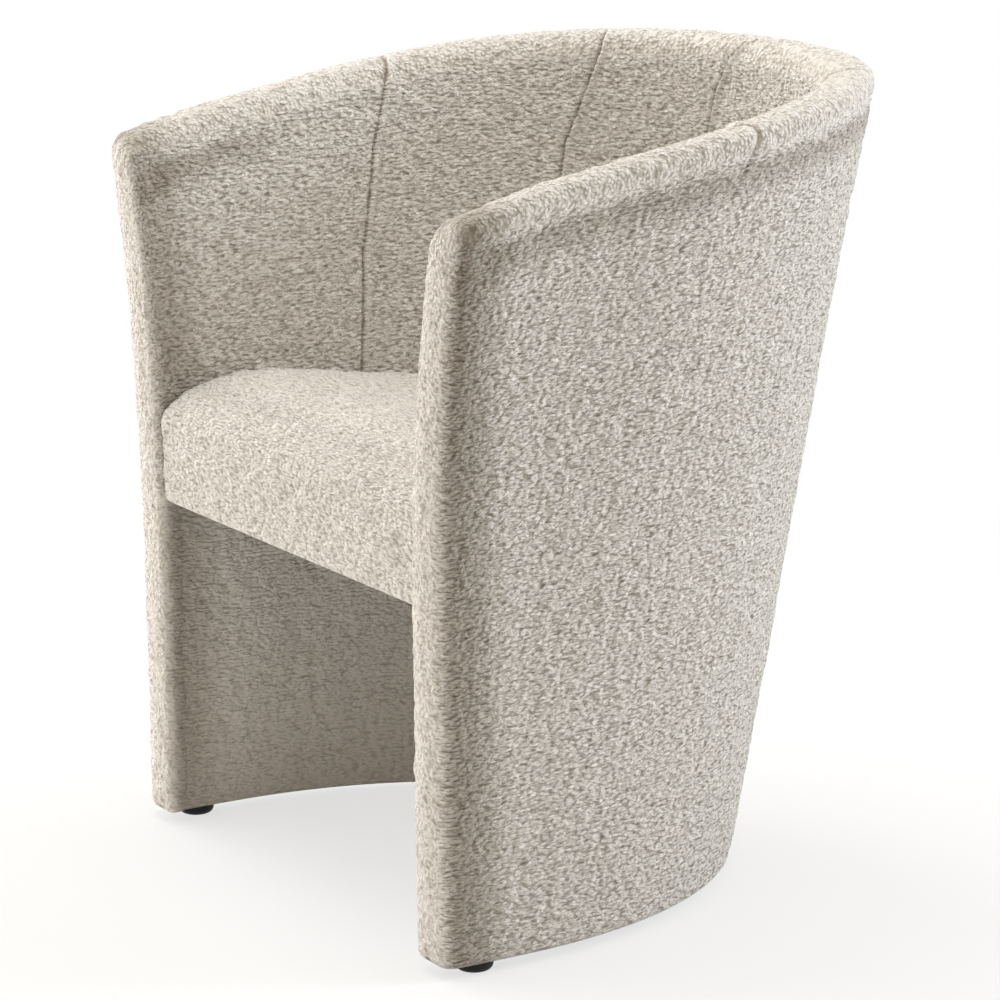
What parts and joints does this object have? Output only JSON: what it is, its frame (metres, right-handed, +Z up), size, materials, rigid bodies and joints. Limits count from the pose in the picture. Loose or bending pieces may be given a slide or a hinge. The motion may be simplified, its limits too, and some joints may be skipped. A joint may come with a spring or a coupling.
{
  "type": "tub armchair",
  "caption": "Upholstered tub armchair: one flared padded wall wraps round as arms and back, and a sprung seat is bolted between the arms above an open space.",
  "frame": {"origin": "on the floor, below the centre of the overall box", "axes": "+Z up, the front faces -Y, and +X is on the right as seen from the front"},
  "size_m": [0.6612, 0.5731, 0.7499],
  "materials": {
    "cover_cloth": "cream curled pile",
    "foam": "open-cell foam",
    "felt": "pressed felt",
    "webbing": "woven elastic",
    "lining": "non-woven cloth",
    "plywood": "raw birch plywood",
    "pine": "raw pine",
    "hardboard": "hardboard",
    "zinc_steel": "zinc plated",
    "black_plastic": "moulded, satin"
  },
  "bodies": {
    "root": {"base_ring": "plywood", "rim_rail": "plywood", "back_rail": "pine", "front_post_left": "pine", "front_post_right": "pine", "side_post_left": "pine", "side_post_right": "pine", "rear_post_left": "pine", "rear_post_right": "pine", "seat_bearer_left": "pine", "seat_bearer_right": "pine", "outer_panel": "hardboard", "inner_panel": "hardboard", "wall_padding_left": "foam", "wall_padding_back": "foam", "wall_padding_right": "foam", "wall_cover": "cover_cloth", "dart_seams": "cover_cloth", "hem_strip": "lining", "seat_front_rail": "pine", "seat_side_rail_left": "pine", "seat_side_rail_right": "pine", "seat_back_rail": "pine", "seat_ring": "plywood", "webbing_lengthwise": "webbing", "webbing_crosswise": "webbing", "webbing_felt": "felt", "seat_foam": "foam", "seat_front_pad": "foam", "seat_cover": "cover_cloth", "seat_dust_cover": "lining", "seat_bolts": "zinc_steel", "bolt_washers": "zinc_steel", "tee_nuts": "zinc_steel", "foot_front_left": "black_plastic", "foot_front_right": "black_plastic", "foot_rear_left": "black_plastic", "foot_rear_right": "black_plastic", "foot_screws": "zinc_steel"}
  },
  "joints": []
}
